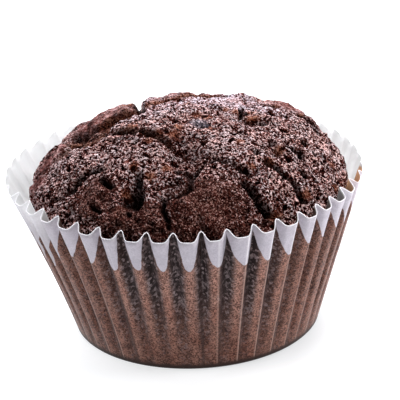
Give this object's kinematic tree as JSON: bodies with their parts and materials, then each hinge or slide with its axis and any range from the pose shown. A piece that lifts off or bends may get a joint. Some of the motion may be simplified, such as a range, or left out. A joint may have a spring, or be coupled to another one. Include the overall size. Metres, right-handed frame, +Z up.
{
  "type": "chocolate cupcake in a pleated paper case",
  "caption": "Plain chocolate cupcake with a cracked, crumbly dome, baked in a white pleated paper case that grease has darkened.",
  "frame": {"origin": "centre of the paper case's flat underside, which rests on the table", "axes": "+Z up along the axis of the case, -Y towards the side the picture shows, +X to its right"},
  "size_m": [0.073, 0.073, 0.0455],
  "materials": {
    "cake_crumb": "baked chocolate crumb, porous, with a faint moist glint",
    "case_paper": "thin white baking paper, stained brown by the cake below its rim"
  },
  "bodies": {
    "root": {"cake": "cake_crumb", "paper_case": "case_paper"}
  },
  "joints": []
}
